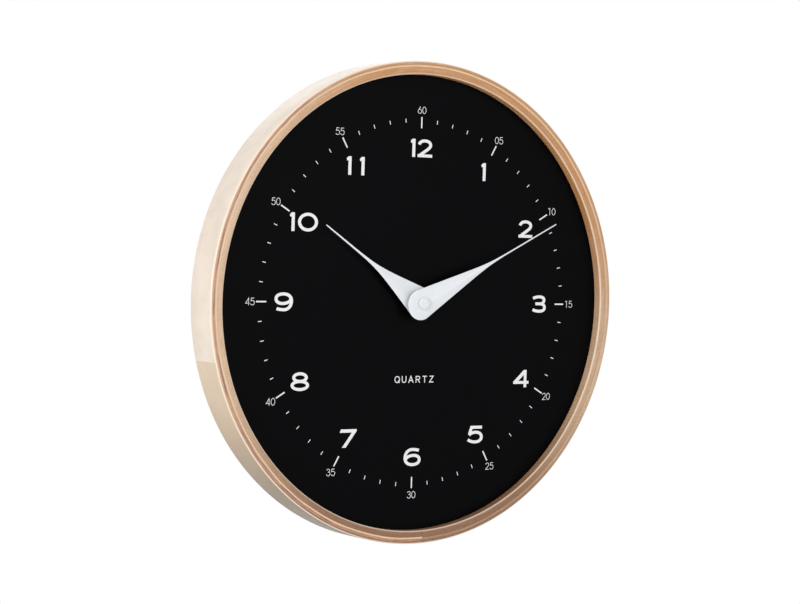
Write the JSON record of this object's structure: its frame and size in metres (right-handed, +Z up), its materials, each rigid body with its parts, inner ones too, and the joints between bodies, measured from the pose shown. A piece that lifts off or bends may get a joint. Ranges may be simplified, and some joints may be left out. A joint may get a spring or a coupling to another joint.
{
  "type": "wall clock",
  "caption": "Round wall clock with a bent plywood rim, a black dial, two white tapered hands and a battery movement hung from a keyhole strip.",
  "frame": {"origin": "the point where a wall hook bears on the top of the hanger strip's keyhole slot, in the strip's middle plane", "axes": "+Z up, +Y towards the wall, +X to the viewer's right as the dial is read; the hand axis is parallel to Y below the origin"},
  "size_m": [0.4, 0.037, 0.4],
  "materials": {
    "birch_ply": "clear satin lacquer on bent birch plywood",
    "black_dial": "satin black paint on fibreboard",
    "white_lacquer": "matte white paint on thin aluminium",
    "brass": "turned brass",
    "zinc_steel": "zinc-plated steel",
    "black_plastic": "spark-eroded moulded ABS",
    "white_plastic": "moulded acetal",
    "rubber": "black rubber and epoxy",
    "copper": "enamelled copper wire",
    "circuit_green": "green solder mask",
    "magnet": "ferrite magnet",
    "cell_jacket": "printed film jacket"
  },
  "bodies": {
    "case": {"bentwood_rim": "birch_ply", "dial_panel": "black_dial", "dial_clip_1": "zinc_steel", "dial_clip_2": "zinc_steel", "dial_clip_3": "zinc_steel", "dial_clip_4": "zinc_steel", "clip_screw_1": "zinc_steel", "clip_screw_2": "zinc_steel", "clip_screw_3": "zinc_steel", "clip_screw_4": "zinc_steel", "threaded_bush": "brass", "brass_washer": "brass", "hex_nut": "brass", "rubber_gasket": "rubber", "hanger_plate": "zinc_steel", "movement_case": "black_plastic", "movement_cover": "black_plastic", "train_plate": "white_plastic", "stator": "zinc_steel", "coil_core": "zinc_steel", "coil_bobbin": "white_plastic", "coil_winding": "copper", "circuit_board": "circuit_green", "quartz_crystal": "zinc_steel", "chip_blob": "rubber", "positive_contact": "zinc_steel", "negative_contact": "zinc_steel"},
    "minute": {"minute_arbor": "brass", "minute_hand": "white_lacquer", "hub_cap": "white_lacquer"},
    "hour": {"hour_wheel": "white_plastic", "hour_hand": "white_lacquer", "hour_hand_collet": "brass"},
    "motion": {"motion_wheel": "white_plastic"},
    "setting": {"setting_pinion": "white_plastic", "setting_knob": "black_plastic"},
    "centre": {"centre_wheel": "brass"},
    "third": {"third_wheel": "white_plastic"},
    "seconds": {"seconds_wheel": "white_plastic"},
    "intermediate": {"intermediate_wheel": "white_plastic"},
    "rotor": {"rotor_pinion": "white_plastic", "rotor_magnet": "magnet"},
    "cell": {"aa_cell": "cell_jacket"}
  },
  "joints": [
    {"name": "minute_turn", "type": "hinge", "parent": "case", "child": "minute", "pos_m": [0, 0, -0.0455], "axis": [0, 1, 0], "continuous": true},
    {"name": "hour_turn", "type": "hinge", "parent": "case", "child": "hour", "pos_m": [0, 0, -0.0455], "axis": [0, 1, 0], "continuous": true},
    {"name": "motion_turn", "type": "hinge", "parent": "case", "child": "motion", "pos_m": [-0.01039, 0, -0.0395], "axis": [0, 1, 0], "continuous": true},
    {"name": "setting_turn", "type": "hinge", "parent": "case", "child": "setting", "pos_m": [-0.01501, 0, -0.02681], "axis": [0, 1, 0], "continuous": true},
    {"name": "rotor_turn", "type": "hinge", "parent": "case", "child": "rotor", "pos_m": [0.01248, 0, -0.03056], "axis": [0, 1, 0], "continuous": true},
    {"name": "intermediate_turn", "type": "hinge", "parent": "case", "child": "intermediate", "pos_m": [0.01855, 0, -0.03406], "axis": [0, 1, 0], "continuous": true},
    {"name": "seconds_turn", "type": "hinge", "parent": "case", "child": "seconds", "pos_m": [0.01465, 0, -0.04082], "axis": [0, 1, 0], "continuous": true},
    {"name": "third_turn", "type": "hinge", "parent": "case", "child": "third", "pos_m": [0.00694, 0, -0.03723], "axis": [0, 1, 0], "continuous": true},
    {"name": "centre_turn", "type": "hinge", "parent": "case", "child": "centre", "pos_m": [0, 0, -0.0455], "axis": [0, 1, 0], "continuous": true},
    {"name": "cell_slide", "type": "slide", "parent": "case", "child": "cell", "axis": [0, 1, 0], "range_m": [0, 0.018]}
  ],
  "couplings": [
    {"joint": "hour_turn", "follows": "minute_turn", "ratio": 0.083333},
    {"joint": "motion_turn", "follows": "minute_turn", "ratio": -0.33333},
    {"joint": "setting_turn", "follows": "minute_turn", "ratio": 0.66667},
    {"joint": "intermediate_turn", "follows": "rotor_turn", "ratio": -0.16667},
    {"joint": "seconds_turn", "follows": "rotor_turn", "ratio": 0.033333},
    {"joint": "third_turn", "follows": "rotor_turn", "ratio": -0.0044444},
    {"joint": "centre_turn", "follows": "rotor_turn", "ratio": 0.00055556}
  ]
}
